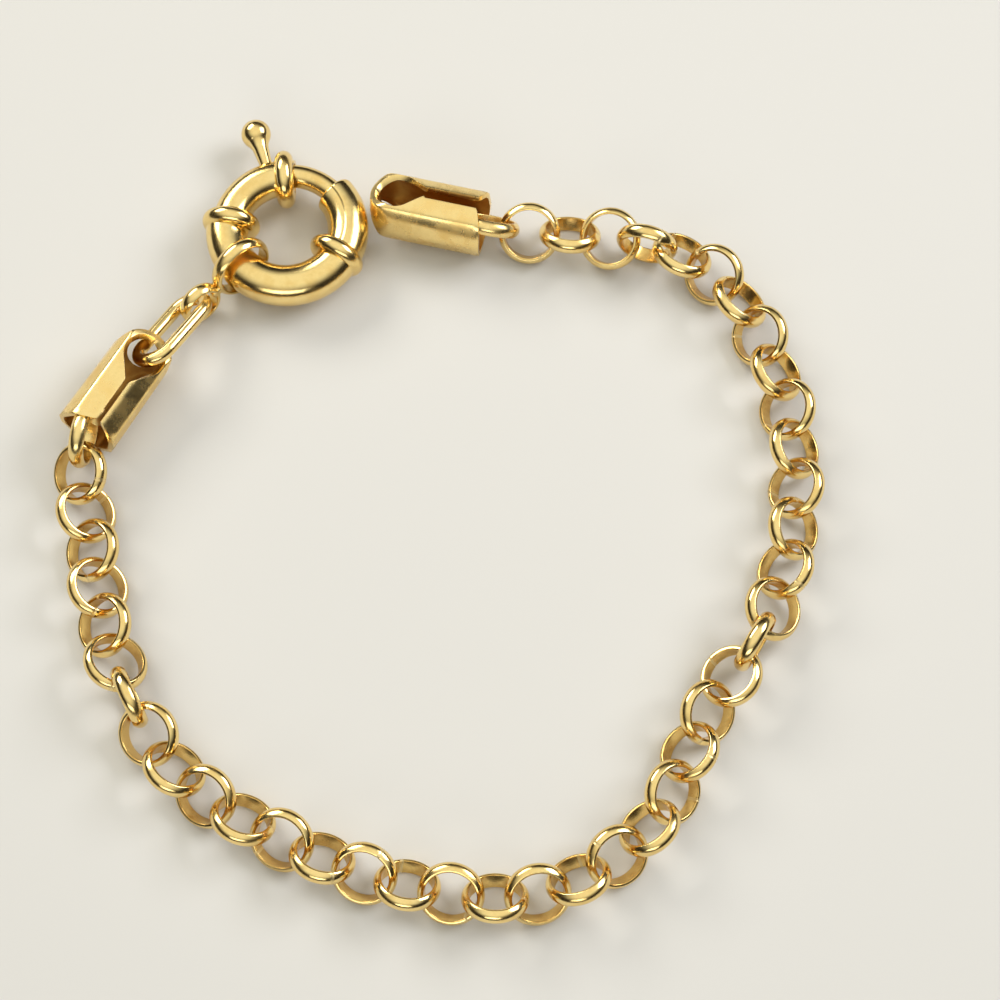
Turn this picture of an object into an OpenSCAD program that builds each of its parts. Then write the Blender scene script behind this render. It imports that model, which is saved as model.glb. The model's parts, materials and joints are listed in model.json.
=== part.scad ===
// Link bracelet with a round spring clasp, lying open on a flat surface.
// Millimetres, +Z up, the surface is z = 0.
// Round links lean in and out by turns along an open loop. One end of the chain is
// soldered into an end cap that hangs on the clasp, the other into a free end cap.

/* [Chain] */
// Outer diameter of a chain link
link_d = 5.1; // [4.8:0.1:5.6]
// Width of a link's band, along the axis of its ring
link_w = 1.2; // [0.9:0.05:1.25]
// Thickness of a link's band
link_t = 0.55; // [0.4:0.05:0.6]
// Height of the flat side of the band, below its domed outer face
link_side = 0.2; // [0.1:0.05:0.3]
// Play between neighbouring links, measured with the chain pulled straight
link_play = 0.7; // [0.6:0.05:0.9]

/* [Clasp] */
// Outer diameter of the clasp's ring
clasp_d = 13.3; // [12.5:0.1:15]
// Diameter of the clasp's tube
tube_d = 3.36; // [3:0.05:3.6]
// Diameter of the tube's slotted length, between the top and left collars
tube_slot_d = 2.95; // [2.8:0.05:3.2]
// Outer diameter of the domed collars on the tube
collar_d = 4.75; // [4.2:0.05:5]
// Length of a collar along the tube
collar_l = 1.5; // [1.3:0.05:1.9]
// Diameter of the sliding rod that closes the ring
rod_d = 1.9; // [1.6:0.05:2]
// Clearance round the rod in the tube's bore
rod_gap = 0.1; // [0.06:0.01:0.15]
// Diameter of the finger ball on the rod
ball_d = 2.45; // [2:0.05:2.8]
// Distance from the tube's centre line to the centre of the ball
ball_reach = 4.3; // [3.6:0.05:5]
// Width of the ball's stem at the tube
stem_d = 0.8; // [0.6:0.05:0.9]
// Width of the slot in which the stem slides
slot_w = 1.5; // [1.2:0.05:1.5]
// Angle through which the rod slides back
rod_travel = 40; // [30:1:42]

/* [Connecting links] */
// Outer diameter of the figure-eight's loop round the clasp
eight_big_d = 5.4; // [5:0.1:6]
// Outer diameter of the figure-eight's small loop
eight_small_d = 3.7; // [3.5:0.05:4]
// Width of the figure-eight's band
eight_w = 1.15; // [1:0.05:1.4]
// Thickness of the figure-eight's band
eight_t = 0.45; // [0.4:0.05:0.6]
// Length of the oval link
oval_l = 8.6; // [8:0.1:9.4]
// Width of the oval link
oval_w = 4.4; // [4.2:0.1:4.6]
// Diameter of the oval link's wire
oval_wire = 1.1; // [0.9:0.05:1.15]

/* [End caps] */
// Length of an end cap
cap_l = 9.6; // [9:0.1:11]
// Width of an end cap at its open tail
cap_w = 5; // [4.8:0.1:5.6]
// Width of an end cap at its round nose
cap_nose_w = 4.7; // [4.4:0.05:4.8]
// Depth left at the tip of the nose
cap_nose_h = 0.95; // [0.8:0.05:1.1]
// Drop of the slit side toward the tip of the nose
cap_drop = 1.3; // [1:0.05:1.5]
// Thickness of the caps' sheet
cap_sheet = 0.4; // [0.3:0.05:0.5]
// Width of the hole through the nose
hole_w = 3.5; // [3.2:0.05:3.7]
// Length of the teardrop hole, from its round end to its point
hole_l = 4.7; // [4.4:0.1:5]
// Width of the round opening behind it, in the back
back_hole_w = 3.1; // [2.8:0.05:3.4]
// Metal between the hole and the tip of the nose
nose_rim = 0.4; // [0.3:0.05:0.5]
// Width of the seam slit in the cap on the clasp
slit_clasp = 0.4; // [0.3:0.05:1]
// Width of the seam slit in the free cap
slit_free = 1.2; // [0.6:0.1:1.6]

/* [Hidden] */
// The chain's route on the surface: the centres of every third link, from the eye in
// the clasp's cap to the eye in the free cap
route = [
    [-32.9, 4.4], [-31.8, -4.8], [-29.5, -13.9], [-24.6, -22.3], [-16.3, -27.7],
    [-6.9, -31.1], [2.8, -31.8], [11.2, -26.8], [15.8, -17.9], [21.1, -9.6],
    [23.3, 0.3], [22.1, 10.2], [17.4, 18.8], [8.9, 22.0], [-0.9, 22.9]];
links_per_knot = 3;
last_link = links_per_knot * (len(route) - 1);
// Pitch and length of cap at which the route was laid out, and the pitch that the links'
// size gives
route_pitch = 3.3;
route_cap_l = 9.6;
link_pitch = link_d - 2 * link_t - link_play;
route_scale = link_pitch / route_pitch;

// Names of the solids, the chain's links counted from the clasp
LINKS = [for (i = [1 : last_link - 1]) str("link_", i < 10 ? "0" : "", i)];
$fn = 64;
eps = 0.02;
gold = "#d9a441";

// Centre of the whole bracelet's outline on the route's plan
origin = [-4.96, -0.79];

// Lie of the links: the ordinary lean, the links that stand upright, and the smaller
// lean, the lift and the tilt of a link that rests on an upright neighbour's band
lean = 36;
lean_per_bend = 0.5;
lean_per_stretch = 18;
upright = [0, 7, 26, 38];
upright_turn = 90;
rest_lean = 27;
rest_tilt = 8;
// How far such a link slides toward the upright one, as a share of the pitch
rest_slide = 0.03;
// Lift of such a link, as a share of the band's thickness
rest_lift = 0.78;
// Further turn and tilt of the first link, which rests on the eye in the clasp's cap
first_turn = 5;
first_tilt = -2;

// Directions in which the pieces at the clasp lie, counterclockwise from +X, and the
// rolls of the caps, the free sides of which are turned up
clasp_cap_turn = 58.5;
clasp_cap_roll = 25;
free_cap_turn = 167.3;
free_cap_roll = 16;
oval_turn = 58;
oval_pitch = -13;
oval_roll = -38;
eight_turn = 42.7;
eight_roll = -9.5;
// Lie of the eyes in the caps: their lean, and their turn toward the chain
clasp_eye_lean = 90;
clasp_eye_turn = 21;
free_eye_lean = 57;
free_eye_turn = 0;
// Distance from a cap's tail out to the centre of its eye
eye_out = 0.35;
// Diameter of the solder behind the eye
solder_d = 1.1;
// How far the opening in each cap's back leans toward the nose
clasp_back_lean = 30;
free_back_lean = 15;

// Places on the clasp's ring, in degrees counterclockwise from +X
mouth_at = 43;
top_collar_at = 94;
ball_at = 108;
left_collar_at = 173;
low_collar_at = 331;
// Where the rod's bore starts, inside the gap, and where it ends beyond the slot
bore_start_at = 63;
bore_end_at = 157;
// Depth of the socket in the tube's end, how far the rod stays off its floor, and how
// far the rod runs on past the ball, in degrees
socket_depth = 6;
socket_play = 2;
rod_tail = 5;
slot_play = 1;
// How far the collars and the tube's slotted length stand in toward the ring's centre
collar_in = 0.33;
tube_slot_in = 0.2;

clasp_r = (clasp_d - tube_d) / 2;
collar_r = collar_d / 2;
bore_d = rod_d + 2 * rod_gap;
function arc_angle(length) = length / clasp_r * 180 / PI;

// Points on the route: the route grows and shrinks with the pitch, and its two ends
// stay where the caps' noses leave them
function between_ends(share, first, last) = first * (1 - share) + last * share;
function scaled_knot(k) =
    let (share = k / (len(route) - 1))
    route_scale * route[k]
    + (1 - route_scale) * between_ends(share, route[0], route[len(route) - 1])
    + (route_cap_l - cap_l)
        * between_ends(share, heading_of(clasp_cap_turn), heading_of(free_cap_turn))
    - origin;
function knot(k) =
    k < 0 ? scaled_knot(0) + links_per_knot * link_pitch * heading_of(clasp_cap_turn)
    : k > len(route) - 1
        ? scaled_knot(len(route) - 1) + links_per_knot * link_pitch * heading_of(free_cap_turn)
    : scaled_knot(k);
function heading_of(turn) = [cos(turn), sin(turn)];
function smooth(a, b, c, d, t) =
    0.5 * (2 * b + (c - a) * t + (2 * a - 5 * b + 4 * c - d) * t * t
    + (3 * b - a - 3 * c + d) * t * t * t);
function route_point(i) =
    let (u = i / links_per_knot, k = min(floor(u), len(route) - 2))
    smooth(knot(k - 1), knot(k), knot(k + 1), knot(k + 2), u - k);
function heading(from, to) = atan2(to[1] - from[1], to[0] - from[0]);
function link_heading(i) =
    heading(route_point(max(i - 1, 0)), route_point(min(i + 1, last_link)))
    + (i == 1 ? first_turn : 0);
function bend(i) =
    i <= 0 || i >= last_link ? 0
    : let (turn = heading(route_point(i), route_point(i + 1))
        - heading(route_point(i - 1), route_point(i)))
    turn > 180 ? turn - 360 : turn < -180 ? turn + 360 : turn;

// Lie of link i
function is_upright(i) = len([for (s = upright) if (s == i) s]) > 0;
function upright_before(i) = len([for (s = upright) if (s < i) s]);
function side(i) = (i + upright_before(i)) % 2 == 0 ? 1 : -1;
function rests_on_next(i) = is_upright(i + 1);
function rests_on_last(i) = is_upright(i - 1);
function rests(i) = rests_on_next(i) || rests_on_last(i);
function on_route(i) =
    !rests(i) ? i : rests_on_next(i) ? i + rest_slide : i - rest_slide;
function step(i) =
    norm(route_point(min(on_route(i) + 1, last_link)) - route_point(max(on_route(i) - 1, 0)))
    / (min(i + 1, last_link) - max(i - 1, 0));
function link_roll(i) =
    is_upright(i) ? upright_turn
    : i == last_link ? free_eye_lean
    : side(i) * (lean_per_bend * abs(bend(i))
        + (rests(i) ? rest_lean : lean + lean_per_stretch * (step(i) - link_pitch)));
function link_tilt(i) =
    is_upright(i) ? 0 : rests_on_next(i) ? rest_tilt : rests_on_last(i) ? -rest_tilt
    + (i == 1 ? first_tilt : 0) : 0;
function link_lift(i) = !is_upright(i) && rests(i) ? rest_lift * link_t : 0;

// Height of the centre of a band ring whose plane slopes by the angle given and whose
// lowest edge lies on the surface
function dome_r(w, h) = (w * w / 4 + h * h) / (2 * h);
function rest_height(d, w, t, flat, slope) =
    let (r = dome_r(w, t - flat), dome_centre = d / 2 - r)
    90 - slope <= asin(min(1, w / 2 / r))
        ? dome_centre * sin(slope) + r
        : (d / 2 - t + flat) * sin(slope) + w / 2 * cos(slope);
function slope_of(roll, tilt) = acos(cos(roll) * cos(tilt));
function link_height(i) =
    rest_height(link_d, link_w, link_t, link_side, slope_of(link_roll(i), link_tilt(i)))
    + link_lift(i);

// Height of a cap's axis, and of the tube's centre line, lying on the surface
cap_round_d = cap_w * 1.05;
cap_z = cap_round_d / 2;
tube_z = collar_r;

// The pieces from the clasp's cap to the clasp follow one another
function along(turn, pitch = 0) = [cos(turn) * cos(pitch), sin(turn) * cos(pitch), sin(pitch)];
function in_cap(p, tail, turn, roll) =
    tail + p[0] * along(turn)
    + (p[1] * cos(roll) - p[2] * sin(roll)) * along(turn + 90)
    + [0, 0, p[1] * sin(roll) + p[2] * cos(roll)];
clasp_eye = [route_point(0)[0], route_point(0)[1], cap_z];
clasp_cap_tail = clasp_eye + eye_out * along(clasp_cap_turn);
free_eye = [route_point(last_link)[0], route_point(last_link)[1], cap_z];
free_cap_tail = free_eye + eye_out * along(free_cap_turn);
// Where the oval link's wire lies in the cap's hole, behind the tip of the nose
hook_in = 2.35;
oval_hook = [cap_l - hook_in, -0.3, 1.3];
oval_end = in_cap(oval_hook, clasp_cap_tail, clasp_cap_turn, clasp_cap_roll);
oval_reach = oval_l - oval_wire;
oval_centre = oval_end + oval_reach / 2 * along(oval_turn, oval_pitch);
oval_far_end = oval_end + oval_reach * along(oval_turn, oval_pitch);
eight_pitch = (eight_big_d + eight_small_d) / 2 - 0.3 * eight_t;
neck = [1.6 * eight_t, eight_t, eight_w];
// Where the small loop's centre lies off the oval's wire: along it, across it, and above
// the height at which it would lie on the surface
eight_seat = [-0.2, -0.38, 0.22];
// Play of the tube in the big loop
tube_seat = 0.02;
eight_small = [oval_far_end[0], oval_far_end[1], eight_small_d / 2 + eight_seat[2]]
    + eight_seat[0] * along(eight_turn) + eight_seat[1] * along(eight_turn + 90);
eight_drop = asin((eight_big_d / 2 - eight_small[2]) / eight_pitch);
eight_big = eight_small + eight_pitch * along(eight_turn, eight_drop);
clasp_centre = [eight_big[0], eight_big[1], tube_z]
    + (clasp_r + tube_seat) * along(eight_turn);

// Ring of D section, flat inside and domed outside, about the Z axis
module band_ring(d, w, t, flat) {
    r = dome_r(w, t - flat);
    rotate_extrude()
        intersection() {
            translate([d / 2 - t, -w / 2]) square([t, w]);
            translate([d / 2 - r, 0]) circle(r);
        }
}

module chain_link(i) {
    p = route_point(on_route(i));
    color(gold)
        translate([p[0], p[1], link_height(i)])
            rotate([0, 0, link_heading(i)])
                rotate([0, -link_tilt(i), 0])
                    rotate([link_roll(i), 0, 0])
                        band_ring(link_d, link_w, link_t, link_side);
}

// Length of tube along the clasp's ring, from one angle to another
module tube_arc(d, from, to, r = clasp_r) {
    rotate([0, 0, from])
        rotate_extrude(angle = to - from)
            translate([r, 0]) circle(d = d);
}

// Domed collar round the tube at an angle
module collar(at, d, l) {
    dome = l * 0.53;
    rotate([0, 0, at])
        translate([clasp_r - collar_in, 0, 0])
            rotate([90, 0, 0])
                rotate_extrude()
                    intersection() {
                        translate([0, -l / 2]) square([d / 2, l]);
                        translate([d / 2 - dome, 0]) union() {
                            circle(dome);
                            translate([-d / 2, -dome]) square([d / 2, 2 * dome]);
                        }
                    }
}

module clasp_ring() {
    slot_from = ball_at - arc_angle(slot_w / 2);
    slot_to = ball_at + rod_travel + arc_angle(slot_w / 2) + slot_play;
    color(gold)
        translate(clasp_centre)
            difference() {
                union() {
                    tube_arc(tube_slot_d, top_collar_at - arc_angle(collar_l / 2), left_collar_at,
                        clasp_r - tube_slot_in);
                    tube_arc(tube_d, left_collar_at, 360 + mouth_at);
                    collar(top_collar_at, collar_d, collar_l);
                    collar(left_collar_at, collar_d, collar_l);
                    collar(low_collar_at, collar_d, collar_l);
                }
                tube_arc(bore_d, bore_start_at, bore_end_at);
                tube_arc(bore_d, mouth_at - socket_depth, mouth_at + slot_play);
                rotate([0, 0, slot_from])
                    rotate_extrude(angle = slot_to - slot_from)
                        translate([clasp_r, -slot_w / 2]) square([tube_d, slot_w]);
            }
}

module clasp_gate() {
    color(gold)
        translate(clasp_centre) {
            tube_arc(rod_d, mouth_at - socket_depth + socket_play, ball_at + rod_tail);
            rotate([0, 0, ball_at]) {
                translate([clasp_r, 0, 0])
                    rotate([0, 90, 0])
                        cylinder(d1 = stem_d, d2 = stem_d * 2, h = ball_reach);
                translate([clasp_r + ball_reach, 0, 0]) sphere(d = ball_d);
            }
        }
}

module figure_eight_link() {
    color(gold)
        translate(eight_small)
            rotate([0, 0, eight_turn])
                rotate([0, -eight_drop, 0])
                    rotate([90 + eight_roll, 0, 0]) {
                        band_ring(eight_small_d, eight_w, eight_t, eight_t * 0.4);
                        translate([eight_pitch, 0, 0])
                            band_ring(eight_big_d, eight_w, eight_t, eight_t * 0.4);
                        translate([eight_small_d / 2 - 0.15 * eight_t, 0, 0])
                            cube(neck, center = true);
                    }
}

module oval_link() {
    bend_r = (oval_w - oval_wire) / 2;
    bar = oval_l - oval_w;
    color(gold)
        translate(oval_centre)
            rotate([0, 0, oval_turn])
                rotate([0, -oval_pitch, 0])
                    rotate([oval_roll, 0, 0])
                        for (end = [0, 1])
                            rotate([0, 0, 180 * end]) {
                                translate([bar / 2, 0, 0])
                                    rotate([0, 0, -90])
                                        rotate_extrude(angle = 180)
                                            translate([bend_r, 0]) circle(d = oval_wire);
                                translate([-bar / 2, bend_r, 0])
                                    rotate([0, 90, 0])
                                        cylinder(d = oval_wire, h = bar);
                            }
}

// Outline of a cap seen on its slit side, its tail at x = 0, made smaller by inset
module cap_plan(inset) {
    nose_r = cap_nose_w / 2;
    nose_x = cap_l - nose_r;
    translate([nose_x, 0]) circle(nose_r - inset);
    polygon([[-eps - inset, cap_w / 2 - inset], [nose_x, nose_r - inset],
        [nose_x, inset - nose_r], [-eps - inset, inset - cap_w / 2]]);
}

// Outline of a cap seen from the side: the slit side drops a little and the back rises
// to meet it at the nose
module cap_profile(inset) {
    front_run = cap_l * 0.48;
    back_run = cap_l * 0.4;
    rise = cap_w - cap_nose_h - cap_drop;
    front_r = (front_run * front_run + cap_drop * cap_drop) / (2 * cap_drop);
    back_r = (back_run * back_run + rise * rise) / (2 * rise);
    intersection() {
        translate([-eps - inset, inset - cap_w / 2])
            square([cap_l + eps, cap_w - 2 * inset]);
        rounded_end(cap_l - front_run, cap_w / 2 - front_r, front_r - inset);
        rounded_end(cap_l - back_run, back_r - cap_w / 2, back_r - inset);
    }
}

// Circle with everything behind its middle filled out to a strip
module rounded_end(x, y, r) {
    translate([x, y]) {
        circle(r, $fn = 128);
        translate([-2 * cap_l, -r]) square([2 * cap_l, 2 * r]);
    }
}

// Rounded octagon: the section of a cap, with the slit along one of its edges
module cap_section(inset) {
    flat_w = cap_w - 2 * inset;
    intersection() {
        circle(d = flat_w / cos(22.5), $fn = 8);
        circle(d = cap_round_d - 2 * inset);
    }
}

module cap_body(inset) {
    intersection() {
        translate([0, 0, -cap_w]) linear_extrude(2 * cap_w) cap_plan(inset);
        rotate([90, 0, 0]) translate([0, 0, -cap_w]) linear_extrude(2 * cap_w) cap_profile(inset);
        translate([-1, 0, 0]) rotate([90, 0, 90]) linear_extrude(cap_l + 2) cap_section(inset);
    }
}

// End cap lying rolled on its side, with the chain's eye soldered into its tail
module end_cap(slit, roll, back_lean, eye_lean, eye_turn) {
    hole_r = hole_w / 2;
    hole_x = cap_l - nose_rim - hole_r;
    point_x = cap_l - nose_rim - hole_l;
    tip_angle = asin(hole_r / (hole_x - point_x));
    tangent = hole_r * [sin(tip_angle), cos(tip_angle)];
    notch_l = cap_w * 0.18;
    difference() {
        cap_body(0);
        translate([-eps, 0, 0]) cap_body(cap_sheet);
        linear_extrude(cap_w) {
            translate([hole_x, 0]) circle(hole_r);
            polygon([[point_x, 0], [hole_x - tangent[0], tangent[1]],
                [hole_x - tangent[0], -tangent[1]]]);
            translate([-1, -slit / 2]) square([point_x + 1.5, slit]);
            polygon([[-1, cap_w], [-eps, cap_w / 2], [notch_l, 0], [-eps, -cap_w / 2],
                [-1, -cap_w]]);
        }
        translate([cap_l - nose_rim - back_hole_w / 2, 0, cap_w / 2 - cap_drop - cap_nose_h])
            rotate([180, -back_lean, 0])
                cylinder(d = back_hole_w, h = cap_w);
    }
    translate([-eye_out, 0, 0])
        rotate([-roll, 0, 0])
            rotate([0, 0, eye_turn])
                rotate([eye_lean, 0, 0])
                    band_ring(link_d, link_w, link_t, link_side);
    // Solder that holds the eye's inner end to the cap's back
    translate([link_d / 2 - link_t - eye_out, 0, cap_sheet / 2 - cap_w / 2])
        cylinder(d = solder_d, h = cap_w / 2);
}

module clasp_end_cap() {
    color(gold)
        translate(clasp_cap_tail)
            rotate([0, 0, clasp_cap_turn])
                rotate([clasp_cap_roll, 0, 0])
                    end_cap(slit_clasp, clasp_cap_roll, clasp_back_lean, clasp_eye_lean,
                        clasp_eye_turn);
}

module free_end_cap() {
    color(gold)
        translate(free_cap_tail)
            rotate([0, 0, free_cap_turn])
                rotate([free_cap_roll, 0, 0])
                    end_cap(slit_free, free_cap_roll, free_back_lean, free_eye_lean,
                        free_eye_turn);
}

for (i = [1 : len(LINKS)])
    chain_link(i);
clasp_ring();
clasp_gate();
figure_eight_link();
oval_link();
clasp_end_cap();
free_end_cap();
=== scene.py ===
"""Link bracelet lying open on a table: polished gold links, folded end caps and a ring clasp."""

import json
import random
from math import acos, asin, cos, pi, radians, sin, sqrt, tan

import bmesh
import bpy
import numpy as np
from bpy.props import FloatProperty, FloatVectorProperty, IntProperty, PointerProperty
from mathutils import Matrix, Vector


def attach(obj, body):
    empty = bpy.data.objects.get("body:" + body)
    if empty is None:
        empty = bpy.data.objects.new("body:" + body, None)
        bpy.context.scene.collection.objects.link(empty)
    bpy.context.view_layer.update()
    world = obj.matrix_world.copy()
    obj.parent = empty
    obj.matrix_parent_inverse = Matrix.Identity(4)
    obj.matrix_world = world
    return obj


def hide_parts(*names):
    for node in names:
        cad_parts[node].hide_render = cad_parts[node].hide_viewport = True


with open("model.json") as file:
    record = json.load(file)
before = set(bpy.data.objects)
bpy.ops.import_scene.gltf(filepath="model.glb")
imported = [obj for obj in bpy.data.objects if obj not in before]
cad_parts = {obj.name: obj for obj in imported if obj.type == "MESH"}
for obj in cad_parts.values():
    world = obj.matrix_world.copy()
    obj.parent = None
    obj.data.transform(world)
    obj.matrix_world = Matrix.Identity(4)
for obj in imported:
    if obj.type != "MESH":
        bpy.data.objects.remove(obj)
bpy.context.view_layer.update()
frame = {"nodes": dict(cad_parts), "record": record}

bl_info = {
    "name": "Link bracelet",
    "version": (1, 0, 0),
    "blender": (4, 5, 0),
    "location": "View3D > Sidebar > Bracelet",
    "description": "Builds the detailed pieces, the gold and the studio of a link bracelet",
    "category": "Object",
}

MM = 0.001
LINKS = sorted(name for name in frame["nodes"] if name.startswith("link_"))
# Points of a piece that lie nearer than this are joined
MERGE = 0.0004 * MM

# Places on the clasp's ring, counterclockwise from +X
MOUTH_AT = radians(43)
TOP_COLLAR_AT = radians(94)
BALL_AT = radians(108)
LEFT_COLLAR_AT = radians(173)
LOW_COLLAR_AT = radians(331)
# How far the rod runs on past the ball
ROD_TAIL = radians(5)

# How each end cap lies and was folded: its heading, its roll, the width of its slit in
# millimetres, how sharp the folds between its flats are, the lean of the opening in its
# back, and the turn and lean of the eye in its tail
CAPS = {
    "clasp_end_cap": {
        "heading": radians(58.5),
        "roll": radians(25),
        "slit": 0.4,
        "sharpness": 60,
        "back_lean": radians(30),
        "eye_turn": radians(21),
        "eye_lean": radians(90),
    },
    "free_end_cap": {
        "heading": radians(167.3),
        "roll": radians(16),
        "slit": 1.2,
        "sharpness": 26,
        "back_lean": radians(15),
        "eye_turn": 0,
        "eye_lean": radians(57),
    },
}

# Grids on the softboxes keep their light off the table beneath them
LIGHT_SPREAD = radians(75)
# Where each softbox stands and its width and height in metres, and its power in watts
SOFTBOXES = {
    "key": {"place": (-0.3, 0.34, 0.3), "size": (0.36, 0.2), "power": 0.36, "colour": "#FFFCF4"},
    "fill": {"place": (0.36, 0.16, 0.3), "size": (0.3, 0.2), "power": 0.3, "colour": "#F8F9FF"},
    "front": {"place": (-0.08, -0.62, 0.32), "size": (0.6, 0.2), "power": 0.2, "colour": "#FFFEF8"},
}


def linear(hex_colour):
    """An sRGB hex colour as linear red, green and blue."""
    parts = [int(hex_colour[k : k + 2], 16) / 255 for k in (1, 3, 5)]
    return tuple(c / 12.92 if c <= 0.04045 else ((c + 0.055) / 1.055) ** 2.4 for c in parts)


def colour_property(name, description, hex_colour):
    """A colour that the user can change, given as an sRGB hex value."""
    return FloatVectorProperty(
        name=name,
        description=description,
        subtype="COLOR",
        size=3,
        min=0,
        max=1,
        default=linear(hex_colour),
    )


def length_property(name, description, millimetres):
    """A length that the user can change, given in millimetres and kept in metres."""
    return FloatProperty(
        name=name,
        description=description,
        unit="LENGTH",
        precision=6,
        min=0,
        default=millimetres * MM,
    )


class GoldSettings(bpy.types.PropertyGroup):
    """Colours and polish of the gold."""

    bright: colour_property("Polished gold", "Gold of the polished outer faces", "#F8DC96")
    warm: colour_property("Warm gold", "Redder gold where the polish has worn", "#EFCB7E")
    # Inner gold is darker than the polished gold: painted shade on the bands' inner faces and
    # inside the caps
    inner: colour_property("Inner gold", "Gold of the duller inner faces, darkened as painted shade", "#C8994F")
    solder: colour_property("Solder", "Paler gold of the solder", "#EFD79C")
    # Recess gold paints deeper shade, in patches, on the inside of the caps
    recess_painted_shade: colour_property("Recess gold", "Darker gold, painted shade inside the caps", "#B9803A")
    polish: FloatProperty(
        name="Polish", description="Roughness of polished gold", min=0, max=1, default=0.16
    )
    grain: length_property("Scratch spacing", "Spacing of the fine polishing scratches", 0.16)
    smudge: length_property("Smudge size", "Size of the patches of duller polish", 1.8)


class ChainSettings(bpy.types.PropertyGroup):
    """How the links' bands are finished."""

    edge: length_property("Edge rounding", "Radius of the tumbled edges of a band", 0.09)
    seam: length_property("Seam width", "Width of the soldered seam across a band", 0.16)
    seam_depth: length_property("Seam depth", "Depth of the soldered seam", 0.03)
    oval: length_property("Out of round", "How far a link is out of round", 0.012)
    sections: IntProperty(
        name="Sections", description="Sections round a link", min=24, max=200, default=96
    )
    seed: IntProperty(name="Seed", description="Seed of the seams' places", default=7)


class ClaspSettings(bpy.types.PropertyGroup):
    """Sizes of the ring clasp."""

    ring: length_property("Ring radius", "From the clasp's middle to its centre line", 4.97)
    tube: length_property("Tube", "Diameter of the full tube", 3.36)
    slot_tube: length_property("Slotted tube", "Diameter of the slotted length", 2.95)
    slot_in: length_property("Slotted tube inset", "How far it stands in", 0.2)
    slot: length_property("Slot", "Width of the slot for the stem", 1.5)
    travel: FloatProperty(
        name="Travel",
        description="How far the rod slides back",
        subtype="ANGLE",
        default=radians(40),
    )
    rod: length_property("Rod", "Diameter of the rod", 1.9)
    rod_gap: length_property("Rod clearance", "Clearance round the rod", 0.1)
    socket: length_property("Socket", "Depth of the socket in the mouth", 0.52)
    socket_play: length_property("Socket play", "How far the rod stays off its floor", 0.17)
    mouth_round: length_property("Mouth rounding", "Radius of the tube's end", 0.3)
    collar: length_property("Collar", "Diameter of a collar", 4.75)
    collar_length: length_property("Collar length", "Length of a collar along the tube", 1.5)
    collar_round: length_property("Collar rounding", "How far a collar's bead is rounded", 0.79)
    collar_in: length_property("Collar inset", "How far the collars stand in", 0.33)
    stem: length_property("Stem", "Diameter of the stem at its foot", 0.8)
    ball: length_property("Ball", "Diameter of the finger ball", 2.45)
    ball_reach: length_property("Ball reach", "From the centre line to the ball", 4.3)
    seam_depth: length_property("Tube seam", "Depth of the seam along the tube", 0.05)


class CapSettings(bpy.types.PropertyGroup):
    """Sizes of the end caps."""

    length: length_property("Length", "Length of a cap", 9.6)
    width: length_property("Width", "Width of a cap at its tail", 5)
    nose_width: length_property("Nose width", "Width of a cap at its nose", 4.7)
    nose_height: length_property("Nose height", "Depth left at the tip of the nose", 0.95)
    drop: length_property("Drop", "Drop of the slit side toward the nose", 1.3)
    sheet: length_property("Sheet", "Thickness of the sheet", 0.4)
    hole: length_property("Hole", "Width of the teardrop hole", 3.5)
    hole_length: length_property("Hole length", "Length of the teardrop hole", 4.7)
    back_hole: length_property("Back opening", "Width of the opening in the back", 3.1)
    rim: length_property("Rim", "Metal between the hole and the tip", 0.4)
    notch: length_property("Notch", "Depth of the notch in the tail", 0.9)
    eye: length_property("Eye", "Diameter of the chain's eye in the tail", 5.1)
    eye_out: length_property("Eye place", "From the tail out to the eye's centre", 0.35)


class PieceSettings(bpy.types.PropertyGroup):
    """Sizes of the connecting links."""

    seam_depth: length_property("Draw line", "Depth of the line along the oval link", 0.05)
    eight_big: length_property("Big loop", "Diameter of the figure-eight's big loop", 5.4)
    eight_small: length_property("Small loop", "Diameter of its small loop", 3.7)
    eight_band: length_property("Band", "Thickness of the figure-eight's band", 0.45)


class StageSettings(bpy.types.PropertyGroup):
    """Table, lights and camera."""

    floor: colour_property("Table", "Colour of the table", "#D2D0CB")
    table: length_property("Table size", "Length of the table's sides", 8000)
    ceiling: colour_property("Ceiling", "Colour of the room overhead", "#FFFEF4")
    walls: colour_property("Walls", "Colour of the room at table height", "#2E2A25")
    elevation: FloatProperty(
        name="Elevation",
        description="Angle of the camera above the table",
        subtype="ANGLE",
        default=radians(70),
    )
    distance: length_property("Distance", "From the camera to the middle of the picture", 190.56)
    aim_x: FloatProperty(
        name="Aim X", description="Middle of the picture", unit="LENGTH", default=4.96 * MM
    )
    aim_y: FloatProperty(
        name="Aim Y", description="Middle of the picture", unit="LENGTH", default=0.79 * MM
    )
    lens: FloatProperty(name="Lens", description="Focal length in mm", default=86.4)


def add(tree, kind, settings=None, inputs=None):
    """Adds a node with its settings and its inputs, by name or number.

    An input is a value, or an output to link from.
    """
    node = tree.nodes.new(kind)
    for name, value in (settings or {}).items():
        setattr(node, name, value)
    for name, value in (inputs or {}).items():
        if isinstance(value, bpy.types.NodeSocket):
            tree.links.new(value, node.inputs[name])
        else:
            node.inputs[name].default_value = value
    return node


def new_material(name):
    """An empty node material and its output node."""
    material = bpy.data.materials.new(name)
    material.use_nodes = True
    tree = material.node_tree
    tree.nodes.clear()
    return material, tree, add(tree, "ShaderNodeOutputMaterial")


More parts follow.
